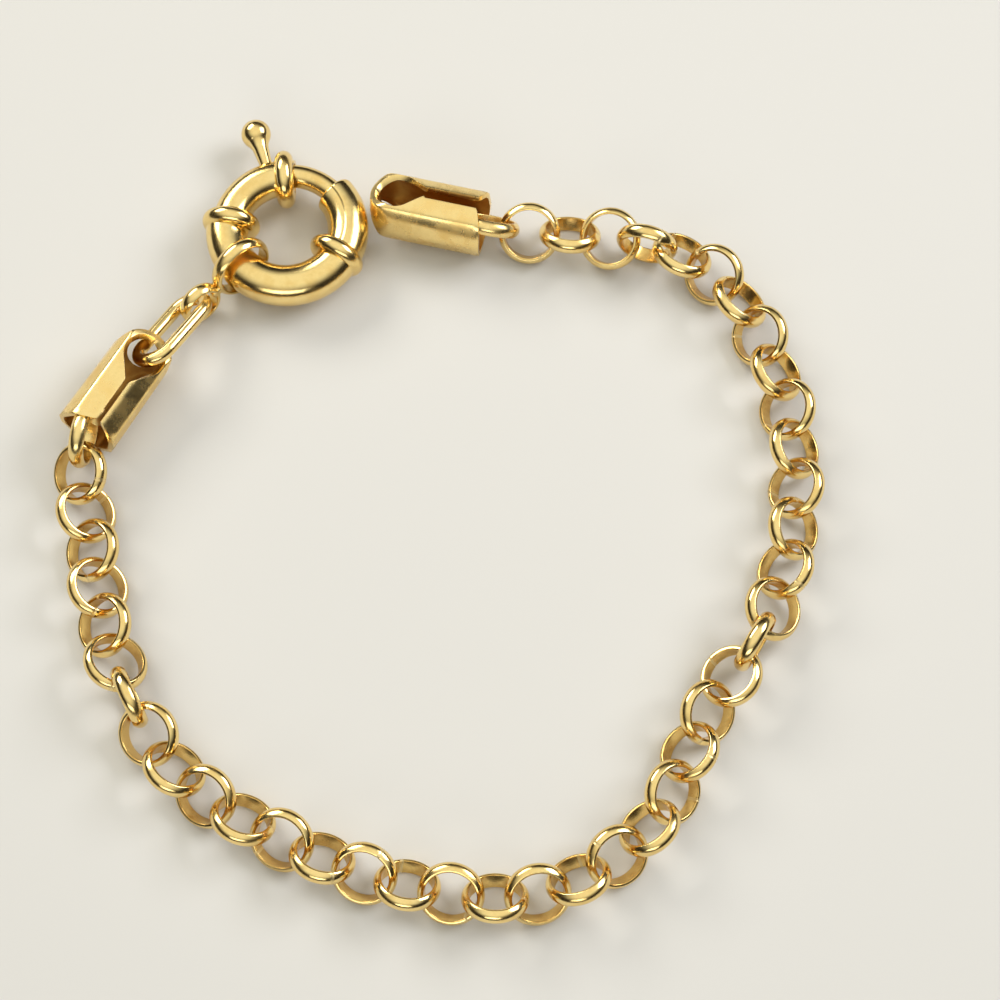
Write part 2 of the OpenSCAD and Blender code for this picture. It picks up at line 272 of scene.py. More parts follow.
def gold_material(name, colours, rougher, grain_depth, wave_depth):
    """Gold with smudges of duller polish, fine scratches and a faintly uneven surface.

    colours names the settings of the clean and the worn gold, which for the inner faces
    are darker gold of painted shade, rougher is how much rougher than the polish each of
    the two is, and the depths are those of the scratches and of the unevenness.
    """
    gold = bpy.context.scene.bracelet_gold
    clean, worn = (getattr(gold, colour) for colour in colours)
    polish, dull = (gold.polish + more for more in rougher)
    material, tree, output = new_material(name)
    place = add(tree, "ShaderNodeTexCoord").outputs["Object"]
    smudges = add(
        tree,
        "ShaderNodeTexNoise",
        inputs={"Vector": place, "Scale": 1 / gold.smudge, "Detail": 4, "Roughness": 0.6},
    )
    scratches = add(
        tree,
        "ShaderNodeTexNoise",
        inputs={"Vector": place, "Scale": 1 / gold.grain, "Detail": 3, "Distortion": 2},
    )
    amount = add(
        tree,
        "ShaderNodeMapRange",
        inputs={"Value": smudges.outputs["Fac"], "From Min": 0.42, "From Max": 0.72},
    )
    colour = add(
        tree,
        "ShaderNodeMix",
        {"data_type": "RGBA"},
        {"Factor": amount.outputs["Result"], 6: (*clean, 1), 7: (*worn, 1)},
    )
    roughness = add(
        tree,
        "ShaderNodeMapRange",
        inputs={"Value": amount.outputs["Result"], "To Min": polish, "To Max": dull},
    )
    uneven = add(
        tree,
        "ShaderNodeBump",
        inputs={"Height": smudges.outputs["Fac"], "Distance": wave_depth, "Strength": 1},
    )
    bump = add(
        tree,
        "ShaderNodeBump",
        inputs={
            "Height": scratches.outputs["Fac"],
            "Distance": grain_depth,
            "Strength": 1,
            "Normal": uneven.outputs["Normal"],
        },
    )
    shader = add(
        tree,
        "ShaderNodeBsdfPrincipled",
        inputs={
            "Metallic": 1,
            "Base Color": colour.outputs[2],
            "Roughness": roughness.outputs["Result"],
            "Normal": bump.outputs["Normal"],
        },
    )
    tree.links.new(shader.outputs[0], output.inputs["Surface"])
    return material


def polished_gold():
    """Yellow gold tumbled to a bright polish: sharp reflections, broken by faint smudges."""
    return gold_material(
        "Tumble-polished yellow gold",
        colours=("bright", "warm"),
        rougher=(0, 0.12),
        grain_depth=0.0006 * MM,
        wave_depth=0.006 * MM,
    )


def band_inside_painted_shade_gold():
    """Inner face of drawn band, which tumbling barely reaches: a shade duller, and darker gold as
    painted shade inside the ring.
    """
    return gold_material(
        "Drawn yellow gold band, inner face with painted shade",
        colours=("warm", "inner"),
        rougher=(0.02, 0.14),
        grain_depth=0.0015 * MM,
        wave_depth=0.012 * MM,
    )


def solder_gold():
    """Gold solder at a link's joint: a little paler and duller, with fine pits."""
    return gold_material(
        "Gold solder, filed flush",
        colours=("solder", "warm"),
        rougher=(0.12, 0.3),
        grain_depth=0.004 * MM,
        wave_depth=0.01 * MM,
    )


def rolled_gold():
    """Rolled and seamed gold tube, polished on the wheel: broad soft waves in the shine."""
    return gold_material(
        "Seamed yellow gold tube, wheel-polished",
        colours=("bright", "warm"),
        rougher=(0, 0.1),
        grain_depth=0.0006 * MM,
        wave_depth=0.014 * MM,
    )


def sheet_gold():
    """Rolled gold sheet, folded over a former and burnished by hand: slightly wavy flats."""
    return gold_material(
        "Folded and burnished yellow gold sheet",
        colours=("bright", "warm"),
        rougher=(0.06, 0.2),
        grain_depth=0.0012 * MM,
        wave_depth=0.012 * MM,
    )


def sheet_inside_painted_shade_gold():
    """Inside of the folded sheet, never polished: dull, and painted darker as shade inside the cap.
    """
    return gold_material(
        "Folded yellow gold sheet, unpolished inside",
        colours=("inner", "recess_painted_shade"),
        rougher=(0.25, 0.4),
        grain_depth=0.004 * MM,
        wave_depth=0.012 * MM,
    )


def node_points(name):
    """The vertices of a CAD node as an array of points in the row frame."""
    mesh = frame["nodes"][name].data
    flat = np.zeros(len(mesh.vertices) * 3, np.float32)
    mesh.vertices.foreach_get("co", flat)
    return flat.reshape(-1, 3).astype(float)


def circle_through(points):
    """Centre and radius of the circle that fits points of the plane best."""
    rows = np.c_[2 * points, np.ones(len(points))]
    x, y, rest = np.linalg.lstsq(rows, (points**2).sum(1), rcond=None)[0]
    return np.array([x, y]), float(np.sqrt(rest + x * x + y * y))


def lie_of_ring(points):
    """Matrix that takes a ring about Z to the ring these points lie on, and its sizes.

    The sizes are the inner radius, the radius at the edge of the sides, the outer radius
    and half the width.
    """
    middle = points.mean(0)
    axes = np.linalg.svd(points - middle, full_matrices=False)[2]
    if np.linalg.det(axes) < 0:
        axes[2] = -axes[2]
    local = (points - middle) @ axes.T
    far = np.linalg.norm(local[:, :2], axis=1)
    centre, outer = circle_through(local[far > 0.97 * far.max(), :2])
    for _ in range(3):
        far = np.linalg.norm(local[:, :2] - centre, axis=1)
        centre, outer = circle_through(local[far > 0.995 * far.max(), :2])
    far = np.linalg.norm(local[:, :2] - centre, axis=1)
    height = (local[:, 2].min() + local[:, 2].max()) / 2
    half = (local[:, 2].max() - local[:, 2].min()) / 2
    at_side = np.abs(np.abs(local[:, 2] - height) - half) < 0.002 * MM
    place = middle + np.array([*centre, height]) @ axes
    lie = Matrix(axes.T.tolist()).to_4x4()
    lie.translation = Vector(place)
    return lie, (far.min(), far[at_side].max(), far.max(), half)


def rounded_corner(before, corner, after, radius, steps=4):
    """Points of the arc that rounds the corner of a line."""
    a, b, c = (np.array(p, float) for p in (before, corner, after))
    to_a, to_c = a - b, c - b
    room = min(np.linalg.norm(to_a), np.linalg.norm(to_c)) / 2
    to_a /= np.linalg.norm(to_a)
    to_c /= np.linalg.norm(to_c)
    half = acos(max(-1, min(1, float(to_a @ to_c)))) / 2
    cut = min(radius / tan(half), room)
    start, end = b + to_a * cut, b + to_c * cut
    points = []
    for step in range(steps + 1):
        t = step / steps
        points.append((1 - t) ** 2 * start + 2 * t * (1 - t) * b + t * t * end)
    return points


def band_profile(inner, side, outer, half, edge):
    """Section of a D-shaped band, in distance from the axis and along it, edges rounded.

    Returns the points and how many of them, from the first, belong to the flat inner face.
    """
    rise = outer - side
    dome = (half * half + rise * rise) / (2 * rise)
    turns = 10
    swing = np.arcsin(min(1, half / dome))
    arc = [
        (outer - dome + dome * cos(a), dome * sin(a))
        for a in np.linspace(swing, -swing, turns + 1)
    ]
    flat = rounded_corner((side, -half), (inner, -half), (inner, half), edge)
    flat += rounded_corner((inner, -half), (inner, half), (side, half), edge)
    rest = rounded_corner((inner, half), (side, half), arc[1], edge)
    rest += [np.array(p) for p in arc[2:-2]]
    rest += rounded_corner(arc[-2], (side, -half), (inner, -half), edge)
    return np.array(flat + rest), len(flat)


def make_object(name, points, faces, materials, slots=None):
    """A smooth mesh object; slots gives each face's place in the list of materials."""
    mesh = bpy.data.meshes.new(name)
    mesh.from_pydata([tuple(map(float, p)) for p in points], [], faces)
    for material in materials:
        mesh.materials.append(material)
    mesh.polygons.foreach_set("use_smooth", [True] * len(faces))
    if slots is not None:
        mesh.polygons.foreach_set("material_index", slots)
    mesh.update()
    piece = bpy.data.objects.new(name, mesh)
    bpy.context.scene.collection.objects.link(piece)
    return piece


def ring_rows(profile, angles, shift):
    """Rows of a profile turned about Z; shift squeezes and moves the section at an angle."""
    centre = profile.mean(0)
    rows = []
    for a in angles:
        squeeze, move = shift(a)
        section = centre + (profile - centre) * (1 - squeeze)
        section[:, 0] += move
        rows.append([(r * cos(a), r * sin(a), z) for r, z in section])
    return rows


class Skin:
    """The points and faces of a piece, gathered patch by patch."""

    def __init__(self):
        self.points = []
        self.faces = []
        self.slots = []

    def grid(self, rows, across=False, along=False, slot=0):
        """Adds rows of points as a grid, which may close across each row and along them."""
        start = len(self.points)
        wide = len(rows[0])
        for row in rows:
            self.points += [tuple(map(float, point)) for point in row]
        for i in range(len(rows) if along else len(rows) - 1):
            j = (i + 1) % len(rows)
            for k in range(wide if across else wide - 1):
                m = (k + 1) % wide
                corners = (i * wide + k, j * wide + k, j * wide + m, i * wide + m)
                self.faces.append(tuple(start + c for c in corners))
                self.slots.append(slot)

    def disc(self, row):
        """Closes a row of points with one flat face."""
        start = len(self.points)
        self.points += [tuple(map(float, point)) for point in row]
        self.faces.append(tuple(range(start, start + len(row))))
        self.slots.append(0)

    def make(self, name, lie, materials):
        """The piece in the row frame, its patches merged and its faces turned outward."""
        points = [lie @ Vector(point) for point in self.points]
        piece = make_object(name, points, self.faces, materials, self.slots)
        work = bmesh.new()
        work.from_mesh(piece.data)
        bmesh.ops.remove_doubles(work, verts=work.verts, dist=MERGE)
        bmesh.ops.dissolve_degenerate(work, edges=work.edges, dist=MERGE / 4)
        bmesh.ops.recalc_face_normals(work, faces=work.faces)
        for face in work.faces:
            face.smooth = True
        work.to_mesh(piece.data)
        work.free()
        return piece


def soften(piece, width):
    """Rounds the edges of a piece where its faces meet at more than 50 degrees."""
    bevel = piece.modifiers.new("Softened edges", "BEVEL")
    bevel.width = width
    bevel.segments = 3
    bevel.limit_method = "ANGLE"
    bevel.angle_limit = radians(50)
    bevel.use_clamp_overlap = True
    normals = piece.modifiers.new("Face normals", "WEIGHTED_NORMAL")
    normals.weight = 60
    normals.keep_sharp = True


def stand_for(piece, node, body="bracelet"):
    """Rides a piece on its body, as the visible form of a CAD node."""
    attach(piece, body)
    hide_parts(node)


def on_tube(ring, turn, radius, angles):
    """Points round a section of a tube bent to a ring; angle 0 is outward and 90 is up."""
    return [
        ((ring + r * cos(a)) * cos(turn), (ring + r * cos(a)) * sin(turn), r * sin(a))
        for r, a in zip(np.broadcast_to(radius, len(angles)), angles)
    ]


def turned(profile, steps):
    """Rows of a profile, pairs of radius and height, turned about the Z axis."""
    return [
        [(r * cos(a), r * sin(a), z) for r, z in profile]
        for a in np.linspace(0, 2 * pi, steps, endpoint=False)
    ]


def moved(rows, lie):
    """Rows of points taken through a matrix."""
    return [[tuple(lie @ Vector(point)) for point in row] for row in rows]


def eased(low, high, steps, ends=(True, True)):
    """Values from low to high that crowd toward the ends where something turns fast."""
    t = np.linspace(0, 1, steps)
    if all(ends):
        t = (1 - np.cos(pi * t)) / 2
    elif ends[0]:
        t = 1 - np.cos(pi / 2 * t)
    elif ends[1]:
        t = np.sin(pi / 2 * t)
    return low + (high - low) * t


def step_between(value, low, high):
    """0 below low, 1 above high, and a smooth rise between."""
    t = min(1, max(0, (value - low) / (high - low)))
    return t * t * (3 - 2 * t)


def link_ring(name, chance, materials):
    """One chain link: a D-section band bent round, with its soldered seam."""
    settings = bpy.context.scene.bracelet_chain
    lie, (inner, side, outer, half) = lie_of_ring(node_points(name))
    profile, flat = band_profile(inner, side, outer, half, settings.edge)
    # The seam's place and the lie of the slight oval, different in every link
    seam_at = chance.uniform(0, 2 * pi)
    oval_at = chance.uniform(0, pi)
    reach = settings.seam / outer
    angles = [seam_at + reach * share for share in (-1, -0.6, -0.3, 0, 0.3, 0.6, 1)]
    seam_rows = len(angles)

    def from_seam(a):
        return abs((a - seam_at + pi) % (2 * pi) - pi)

    # Plain sections keep clear of the seam's own
    clear = reach * 1.3
    for k in range(settings.sections):
        a = seam_at + 2 * pi * k / settings.sections
        if from_seam(a) > clear:
            angles.append(a)
    angles.sort(key=lambda a: (a - seam_at + reach + 1e-6) % (2 * pi))

    def shift(a):
        away = from_seam(a) / reach
        pinch = max(0, 1 - away * 1.5) * settings.seam_depth / half
        return pinch, settings.oval * cos(2 * (a - oval_at)) * 0.5

    skin = Skin()
    skin.grid(ring_rows(profile, angles, shift), across=True, along=True)
    slots = []
    for n in range(len(skin.faces)):
        row, column = divmod(n, len(profile))
        if row < seam_rows - 1:
            slots.append(2)
        # The flat inner face gets the darker gold of painted shade
        elif column < flat - 1:
            slots.append(1)
        else:
            slots.append(0)
    points = [lie @ Vector(point) for point in skin.points]
    piece = make_object(name + "_band", points, skin.faces, materials, slots)
    stand_for(piece, name)


def band_rows(diameter, width, thickness, flat):
    """Rows of a D-section band ring about the Z axis, which close both ways.

    flat is how thick the band is at its edges.
    """
    chain = bpy.context.scene.bracelet_chain
    outer = diameter / 2
    inner = outer - thickness
    profile = band_profile(inner, inner + flat, outer, width / 2, chain.edge)[0]
    return turned(profile, chain.sections)


def slotted_tube(skin, clasp, start, end):
    """The slimmer length of tube with the rod's bore and the slot of the ball's stem."""
    ring = clasp.ring - clasp.slot_in
    radius = clasp.slot_tube / 2
    bore = clasp.rod / 2 + clasp.rod_gap
    half = clasp.slot / 2
    # The slot's ends are round, and the bore ends just past the slot
    end_turn = half / clasp.ring
    play = 0.1 * end_turn
    slot_from = BALL_AT - end_turn
    slot_to = BALL_AT + clasp.travel + end_turn + play
    bore_end = slot_to + radians(1)
    around = 57
    turns = np.unique(
        np.concatenate(
            [
                np.linspace(start, slot_from, 8),
                eased(slot_from, slot_from + end_turn, 9, (True, False)),
                np.linspace(slot_from + end_turn, slot_to - end_turn, 26),
                eased(slot_to - end_turn, slot_to, 9, (False, True)),
                np.linspace(slot_to, bore_end, 3),
                np.linspace(bore_end, end, 8),
            ]
        ).round(6)
    )

    def width_at(turn):
        depth = min(turn - slot_from, slot_to - turn) / end_turn
        if depth < 1e-4:
            return 0
        return half * sqrt(1 - max(0, 1 - depth) ** 2)

    outer, inner = [], []
    for turn in turns:
        opening = width_at(turn)
        a, b = asin(opening / radius), asin(opening / bore)
        outer.append(on_tube(ring, turn, radius, np.linspace(a, 2 * pi - a, around)))
        if turn <= bore_end + 1e-6:
            inner.append(on_tube(clasp.ring, turn, bore, np.linspace(b, 2 * pi - b, around)))
    skin.grid(outer)
    skin.grid(inner)
    skin.disc(outer[-1][:-1])
    skin.disc(inner[-1][:-1])
    skin.grid([outer[0], inner[0]])
    cut = [i for i, turn in enumerate(turns) if slot_from - 1e-5 <= turn <= slot_to + 1e-5]
    for edge in (0, -1):
        skin.grid([[outer[i][edge] for i in cut], [inner[i][edge] for i in cut]])


def full_tube(skin, clasp, start, end):
    """The thick length of tube, which ends in the socket that the rod enters."""
    radius = clasp.tube / 2
    bore = clasp.rod / 2 + clasp.rod_gap
    # The seam runs along the top of the tube, and fades in past the low collar
    seam = radians(94)
    groove_half = radians(2.4)
    fade = radians(12)
    marks = seam + np.radians([-3.5, -2, -1, 0, 1, 2, 3.5])
    plain = np.linspace(0, 2 * pi, 56, endpoint=False)
    angles = np.sort(np.concatenate([plain[np.abs(plain - seam) > radians(5)], marks]))
    round_r = clasp.mouth_round
    last = end - round_r / clasp.ring
    turns = np.concatenate(
        [
            np.linspace(start, LOW_COLLAR_AT, 90),
            np.linspace(LOW_COLLAR_AT, last, 40)[1:],
            eased(last, end, 9, (False, True))[1:],
        ]
    )
    outer = []
    for turn in turns:
        shown = step_between(turn, LOW_COLLAR_AT, LOW_COLLAR_AT + fade)
        profile = np.clip(1 - np.abs(angles - seam) / groove_half, 0, 1)
        groove = clasp.seam_depth * shown * profile
        past = max(0, turn - last) * clasp.ring
        rounded = round_r - sqrt(max(0, round_r**2 - past**2))
        outer.append(on_tube(clasp.ring, turn, radius - rounded - groove, angles))
    socket = [
        on_tube(clasp.ring, turn, bore, angles)
        for turn in np.linspace(end - clasp.socket / clasp.ring, end, 5)
    ]
    skin.grid(outer, across=True)
    skin.grid(socket, across=True)
    skin.grid([outer[-1], socket[-1]], across=True)
    skin.disc(outer[0])
    skin.disc(socket[0])


def collar(skin, clasp, turn):
    """A round bead about the tube at an angle of the clasp's ring."""
    # Its inner side is hidden in the wall of the tube
    inside = 1.32 * MM
    round_r = clasp.collar_round
    middle = clasp.collar / 2 - round_r
    half = clasp.collar_length / 2
    profile = [(inside, -half)]
    profile += [
        (middle + round_r * cos(a), half * sin(a)) for a in np.linspace(-pi / 2, pi / 2, 21)
    ]
    profile += [(inside, half)]
    lie = (
        Matrix.Rotation(turn, 4, "Z")
        @ Matrix.Translation((clasp.ring - clasp.collar_in, 0, 0))
        @ Matrix.Rotation(radians(90), 4, "X")
    )
    skin.grid(moved(turned(profile, 72), lie), across=True, along=True)


def clasp_lie():
    """Where the clasp's middle lies: the gate's own joint turns about it."""
    joint = next(j for j in frame["record"]["behaviour"]["joints"] if j["name"] == "gate_slide")
    return Matrix.Translation(joint["pos_m"])


def clasp_ring():
    """The clasp's ring: slotted and full tube with three soldered beads."""
    clasp = bpy.context.scene.bracelet_clasp
    skin = Skin()
    top_end = TOP_COLLAR_AT - clasp.collar_length / 2 / clasp.ring
    slotted_tube(skin, clasp, top_end, LEFT_COLLAR_AT)
    full_tube(skin, clasp, LEFT_COLLAR_AT, MOUTH_AT + 2 * pi)
    for turn in (TOP_COLLAR_AT, LEFT_COLLAR_AT, LOW_COLLAR_AT):
        collar(skin, clasp, turn)
    piece = skin.make("clasp_ring_tube", clasp_lie(), [rolled_gold()])
    soften(piece, 0.07 * MM)
    stand_for(piece, "clasp_ring")


def bolt_rod(skin, clasp):
    """The bolt's curved rod, with its ends rounded over."""
    radius = clasp.rod / 2
    start = MOUTH_AT - (clasp.socket - clasp.socket_play) / clasp.ring
    end = BALL_AT + ROD_TAIL
    # How far along the rod and how far in its ends are rounded
    along, depth = 0.2 * MM, 0.1 * MM
    angles = np.linspace(0, 2 * pi, 40, endpoint=False)
    rod = []
    for turn in np.linspace(start, end, 70):
        near = min(turn - start, end - turn) * clasp.ring / along
        rod.append(on_tube(clasp.ring, turn, radius - depth * max(0, 1 - near) ** 2, angles))
    skin.grid(rod, across=True)
    skin.disc(rod[0])
    skin.disc(rod[-1])


def bolt_ball(skin, clasp):
    """The bolt's finger ball on a stem that widens toward it and runs into it in a curve."""
    ball, reach = clasp.ball / 2, clasp.ball_reach
    root, tip = clasp.stem / 2, clasp.stem
    # The stem starts inside the rod and ends just inside the ball
    foot, top = 0.5 * MM, reach - 0.98 * ball
    # The curve starts this far below the stem's end, and meets the ball at this angle
    curve_from, blend_from = 0.35 * MM, radians(50)

    def stem(height):
        return root + (tip - root) * height / reach

    ball_foot = (ball * sin(blend_from), reach - ball * cos(blend_from))
    corner = (stem(top), top)
    profile = [(0, foot), (stem(foot), foot)]
    profile += [(stem(h), h) for h in np.linspace(foot, top - curve_from, 8)[1:]]
    start_point = profile[-1]
    for t in np.linspace(0, 1, 8)[1:]:
        profile.append(
            tuple(
                (1 - t) ** 2 * a + 2 * t * (1 - t) * b + t * t * c
                for a, b, c in zip(start_point, corner, ball_foot)
            )
        )
    profile += [
        (ball * sin(a), reach - ball * cos(a)) for a in np.linspace(blend_from, pi, 30)[1:]
    ]
    lie = (
        Matrix.Rotation(BALL_AT, 4, "Z")
        @ Matrix.Translation((clasp.ring, 0, 0))
        @ Matrix.Rotation(radians(90), 4, "Y")
    )
    skin.grid(moved(turned(profile, 48), lie), along=True)


def clasp_gate():
    """The curved bolt that closes the clasp."""
    clasp = bpy.context.scene.bracelet_clasp
    skin = Skin()
    bolt_rod(skin, clasp)
    bolt_ball(skin, clasp)
    piece = skin.make("clasp_bolt", clasp_lie(), [polished_gold()])
    soften(piece, 0.05 * MM)
    stand_for(piece, "clasp_gate", "gate")


def lie_of_flat(points, forward):
    """Matrix of a flat piece: X along it toward forward, Y across it, Z through it and up.

    Returns the matrix, with its origin in the middle of the piece's box, and the box's size.
    """
    middle = points.mean(0)
    axes = np.linalg.svd(points - middle, full_matrices=False)[2]
    if axes[0] @ np.array(forward) < 0:
        axes[0] = -axes[0]
    if axes[2][2] < 0:
        axes[2] = -axes[2]
    axes[1] = np.cross(axes[2], axes[0])
    local = (points - middle) @ axes.T
    low, high = local.min(0), local.max(0)
    lie = Matrix(axes.T.tolist()).to_4x4()
    lie.translation = Vector(middle + (low + high) / 2 @ axes)
    return lie, high - low


def oval_link():
    """The oval link: round wire bent to a long loop, with a fine draw line along one bar."""
    settings = bpy.context.scene.bracelet_pieces
    lie, size = lie_of_flat(node_points("oval_link"), (0.5, 0.85, 0))
    wire = size[2] / 2
    bend = size[1] / 2 - wire
    bar = (size[0] - size[1]) / 2
    # The draw line's place round the wire, and half its width
    seam, groove_half = radians(58), radians(5)
    marks = seam + np.radians([-6, -3, 0, 3, 6])
    plain = np.linspace(0, 2 * pi, 36, endpoint=False)
    angles = np.sort(np.concatenate([plain[np.abs(plain - seam) > radians(8)], marks]))
    # Each section's place along the link and its turn round the bends
    sections = [(bar, turn) for turn in eased(-pi / 2, pi / 2, 28)]
    sections += [(x, pi / 2) for x in np.linspace(bar, -bar, 14)[1:-1]]
    sections += [(-bar, turn) for turn in eased(pi / 2, 3 * pi / 2, 28)]
    sections += [(x, 3 * pi / 2) for x in np.linspace(-bar, bar, 14)[1:-1]]
    skin = Skin()
    grid = []
    for x, turn in sections:
        shown = step_between(-sin(turn), 0.35, 0.9)
        profile = np.clip(1 - np.abs(angles - seam) / groove_half, 0, 1)
        groove = settings.seam_depth * shown * profile
        row = []
        for r, a in zip(wire - groove, angles):
            far = bend + r * cos(a)
            row.append((x + far * cos(turn), far * sin(turn), r * sin(a)))
        grid.append(row)
    skin.grid(grid, across=True, along=True)
    piece = skin.make("oval_link_wire", lie, [polished_gold()])
    stand_for(piece, "oval_link")


def figure_eight_link():
    """The figure-eight link: two band rings soldered at a short neck."""
    settings = bpy.context.scene.bracelet_pieces
    lie, size = lie_of_flat(node_points("figure_eight_link"), (0.7, 0.7, 0))
    big, small = settings.eight_big, settings.eight_small
    flat = settings.eight_band * 0.4
    skin = Skin()
    for diameter, x in ((big, (size[0] - big) / 2), (small, (small - size[0]) / 2)):
        rows = band_rows(diameter, size[2], settings.eight_band, flat)
        skin.grid(moved(rows, Matrix.Translation((x, 0, 0))), across=True, along=True)
    # The soldered neck is a pillow between the loops: half its length, width and height
    neck = size[0] / 2 - big
    half = (0.62 * MM, 0.34 * MM, size[2] * 0.47)
    rows = []
    for a in np.linspace(-pi / 2, pi / 2, 15):
        row = []
        for b in np.linspace(0, 2 * pi, 32, endpoint=False):
            p = (cos(a) * cos(b), cos(a) * sin(b), sin(a))
            bulge = sum(abs(v) ** 4 for v in p) ** -0.25
            x, y, z = (h * v * bulge for h, v in zip(half, p))
            row.append((neck + x, y, z))
        rows.append(row)
    skin.grid(rows, across=True)
    piece = skin.make("figure_eight_bands", lie, [polished_gold()])
    stand_for(piece, "figure_eight_link")


def cap_limits(x, cap, inset):
    """Half the cap's width and the heights of its slit side and back, at x along it."""
    half = cap.width / 2
    nose = cap.nose_width / 2
    nose_x = cap.length - nose
    if x < nose_x:
        wide = half + (nose - half) * x / nose_x - inset
    else:
        wide = sqrt(max(0, (nose - inset) ** 2 - (x - nose_x) ** 2))
    # How far from the tip each of the two begins to curve, and how far it falls by the tip
    runs = (0.48 * cap.length, 0.4 * cap.length)
    falls = (cap.drop, cap.width - cap.nose_height - cap.drop)
    heights = []
    for run, fall in zip(runs, falls):
        bow = (run * run + fall * fall) / (2 * fall)
        past = max(0, x - (cap.length - run))
        heights.append(half - bow + sqrt(max(0, (bow - inset) ** 2 - past * past)))
    return wide, heights[0], -heights[1]


def cap_skin(x, turns, cap, inset, sharp):
    """Points of the cap's skin at x, at angles turned from the slit side toward the left."""
    wide, top, back = cap_limits(x, cap, inset)
    middle = (top + back) / 2
    # The middle of each flat of the octagon
    facets = [radians(22.5 + 45 * k) for k in range(8)]
    across, up = np.sin(turns), np.cos(turns)
    pull = np.zeros(len(turns))
    for facet in facets:
        far = cap.width / 2 - inset - middle * cos(facet)
        pull += np.clip(np.cos(turns - facet), 0, None) ** sharp / far**sharp
    pull += (np.abs(across) / max(wide, 1e-6)) ** sharp
    pull += (np.clip(up, 0, None) / (top - middle)) ** sharp
    pull += (np.clip(-up, 0, None) / (middle - back)) ** sharp
    reach = pull ** (-1 / sharp)
    return np.c_[np.full(len(turns), x), reach * across, middle + reach * up]


def teardrop(cap):
    """The teardrop hole: the radius and the place of its round end, and the place of its point."""
    radius = cap.hole / 2
    return radius, cap.length - cap.rim - radius, cap.length - cap.rim - cap.hole_length


def cap_opening(x, cap, slit):
    """Half the width of what is open on the slit side at x: notch, slit and teardrop."""
    hole_r, hole_x, point_x = teardrop(cap)
    tip = asin(hole_r / (hole_x - point_x))
    shoulder = hole_x - hole_r * sin(tip)
    # The slit runs on a little way into the teardrop's point
    overlap = 0.5 * MM
    opening = 0
    if x < point_x + overlap:
        opening = slit / 2
    if x < cap.notch:
        opening = max(opening, cap.width / 2 * (1 - x / cap.notch))
    if point_x < x < shoulder:
        opening = max(opening, (x - point_x) * tan(tip))
    elif shoulder <= x < hole_x + hole_r:
        opening = sqrt(hole_r**2 - (x - hole_x) ** 2)
    return opening


def cap_rows(cap):
    """Places of the sections along a cap, and where each one's inner side lies."""
    nose = cap.nose_width / 2
    nose_x = cap.length - nose
    hole_r, hole_x = teardrop(cap)[:2]
    # Sections lie closer from a little before the teardrop's point
    closer_from = 4.2 * MM
    rim_at = asin((cap.length - cap.rim - nose_x) / nose)
    stretches = [
        np.linspace(0, cap.notch, 7),
        np.linspace(cap.notch, closer_from, 16),
        np.linspace(closer_from, hole_x, 38),
        hole_x + hole_r * np.sin(np.linspace(0, pi / 2, 22)),
        nose_x + nose * np.sin(np.linspace(rim_at, pi / 2, 12)),
    ]
    outer = np.unique(np.concatenate(stretches).round(7))
    outer[-1] = cap.length
    inner = [x if x < nose_x else nose_x + (x - nose_x) * (nose - cap.sheet) / nose for x in outer]
    return outer, inner


def cap_sheet(skin, cap, slit, back_lean, sharp):
    """The cap's folded sheet: slit and teardrop on one side, round opening in the back."""
    turns = np.linspace(0, pi, 361)
    halfway = len(turns) // 2
    # The opening in the back is bored from a point inside the nose
    back_r = cap.back_hole / 2
    start_z = cap.width / 2 - cap.drop - cap.nose_height
    start = np.array([cap.length - cap.rim - back_r, 0, start_z])
    aim = np.array([sin(back_lean), 0, -cos(back_lean)])
    # The sheet's edges at each section, as turns from the slit side
    outer_rows, inner_rows, fronts, backs = [], [], [], []
    for x, inner_x in zip(*cap_rows(cap)):
        points = cap_skin(x, turns, cap, 0, sharp)
        opening = cap_opening(x, cap, slit)
        front = 0
        if opening > 0:
            past = np.nonzero(points[:halfway, 1] >= opening)[0]
            k = past[0] if len(past) else halfway - 1
            low, high = points[k - 1, 1], points[k, 1]
            share = (opening - low) / (high - low) if len(past) else 1
            front = turns[k - 1] + (turns[k] - turns[k - 1]) * min(1, share)
        offset = points - start
        along = offset @ aim
        away = np.sqrt(np.clip((offset**2).sum(1) - along**2, 0, None))
        inside = (away < back_r) & (along > 0) & (turns > pi / 2)
        back = pi
        if inside.any():
            k = np.nonzero(inside)[0][0]
            share = (away[k - 1] - back_r) / (away[k - 1] - away[k])
            back = turns[k - 1] + (turns[k] - turns[k - 1]) * min(1, max(0, share))
        spread = np.linspace(front, back, 56)
        outer_rows.append(cap_skin(x, spread, cap, 0, sharp))
        inner_rows.append(cap_skin(inner_x, spread, cap, cap.sheet, sharp))
        fronts.append(front)
        backs.append(back)
    count = len(fronts)
    for row in (outer_rows[-1], inner_rows[-1]):
        row[:, 1] = 0
    for side in (1, -1):
        flip = np.array([1, side, 1])
        outer = [row * flip for row in outer_rows]
        inner = [row * flip for row in inner_rows]
        skin.grid(outer)
        # The sheet's inner side gets the darker gold of painted shade
        skin.grid(inner, slot=1)
        skin.grid([outer[0], inner[0]])
        for column, middle, edges in ((0, 0, fronts), (-1, pi, backs)):
            for i in range(count - 1):
                if max(abs(edges[i] - middle), abs(edges[i + 1] - middle)) > 1e-6:
                    skin.grid([[row[i][column], row[i + 1][column]] for row in (outer, inner)])


def lie_of_cap(node, heading, roll, cap):
    """Matrix of a cap: X from the middle of its tail to its nose, Z toward its slit."""
    turn = Matrix.Rotation(heading, 4, "Z") @ Matrix.Rotation(roll, 4, "X")
    axes = np.array(turn.to_3x3())
    local = node_points(node) @ axes
    nose = local[:, 0].max()
    # The nose's half of the cap, clear of the eye in the tail
    body = local[local[:, 0] > nose - cap.length * 0.55]
    middle = (body.min(0) + body.max(0)) / 2
    tail = np.array([nose - cap.length, middle[1], body[:, 2].max() - cap.width / 2])
    turn.translation = Vector(axes @ tail)
    return turn


